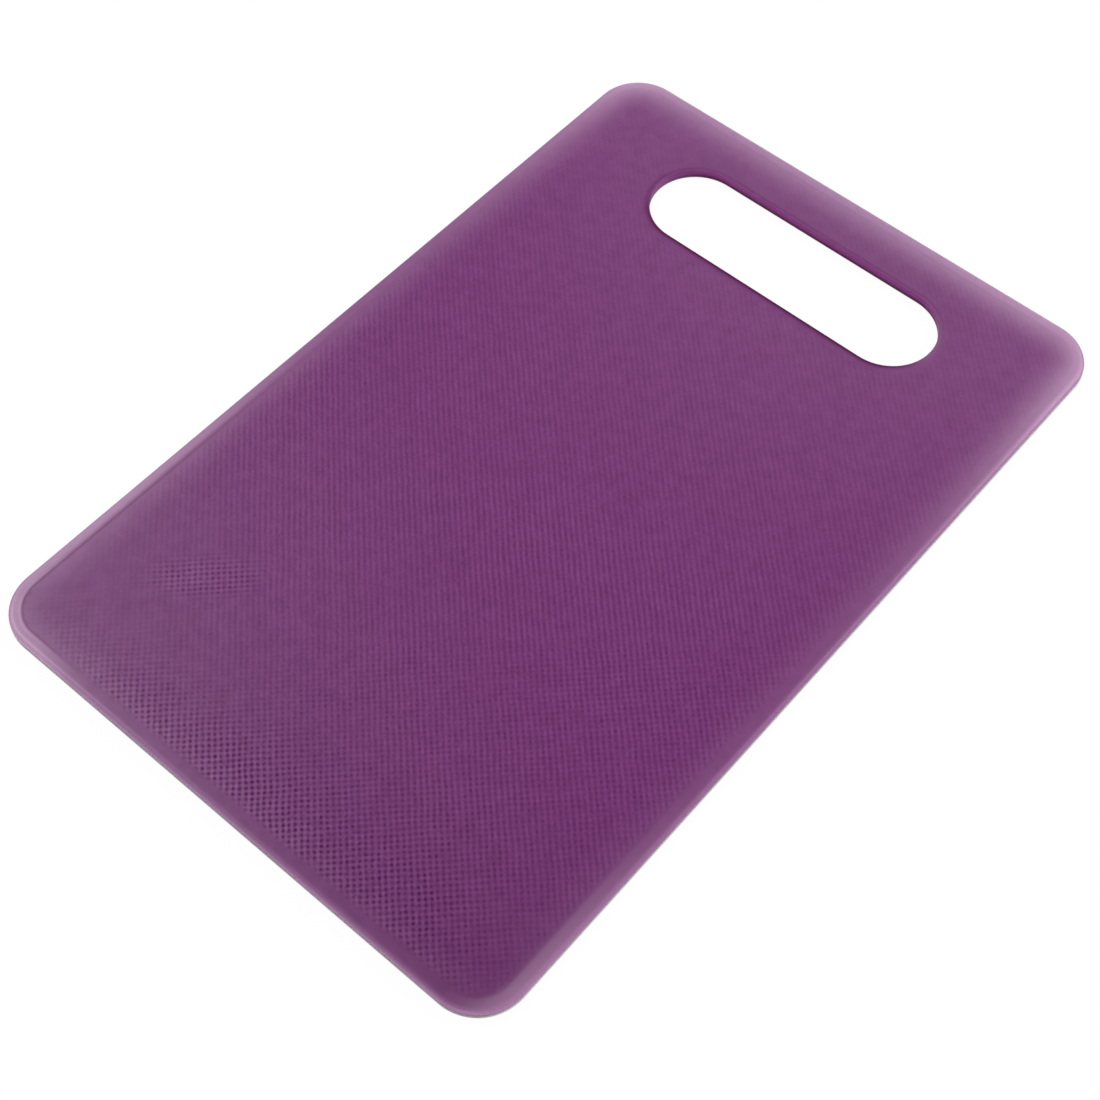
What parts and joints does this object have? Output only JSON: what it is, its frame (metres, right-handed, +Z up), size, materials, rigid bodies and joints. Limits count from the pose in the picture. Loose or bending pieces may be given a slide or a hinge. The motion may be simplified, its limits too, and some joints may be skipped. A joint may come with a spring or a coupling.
{
  "type": "cutting board",
  "caption": "Thin plastic cutting board with rounded corners, a smooth raised border, a fine diagonal mesh pattern and a round-ended hand slot near its end.",
  "frame": {"origin": "on the underside that the board lies on, below the middle of its outline", "axes": "+Z up, out of the cutting face; +Y along the board towards the hand slot; +X across the board"},
  "size_m": [0.16, 0.244, 0.0025],
  "materials": {
    "board_plastic": "satin"
  },
  "bodies": {
    "root": {"board": "board_plastic"}
  },
  "joints": []
}
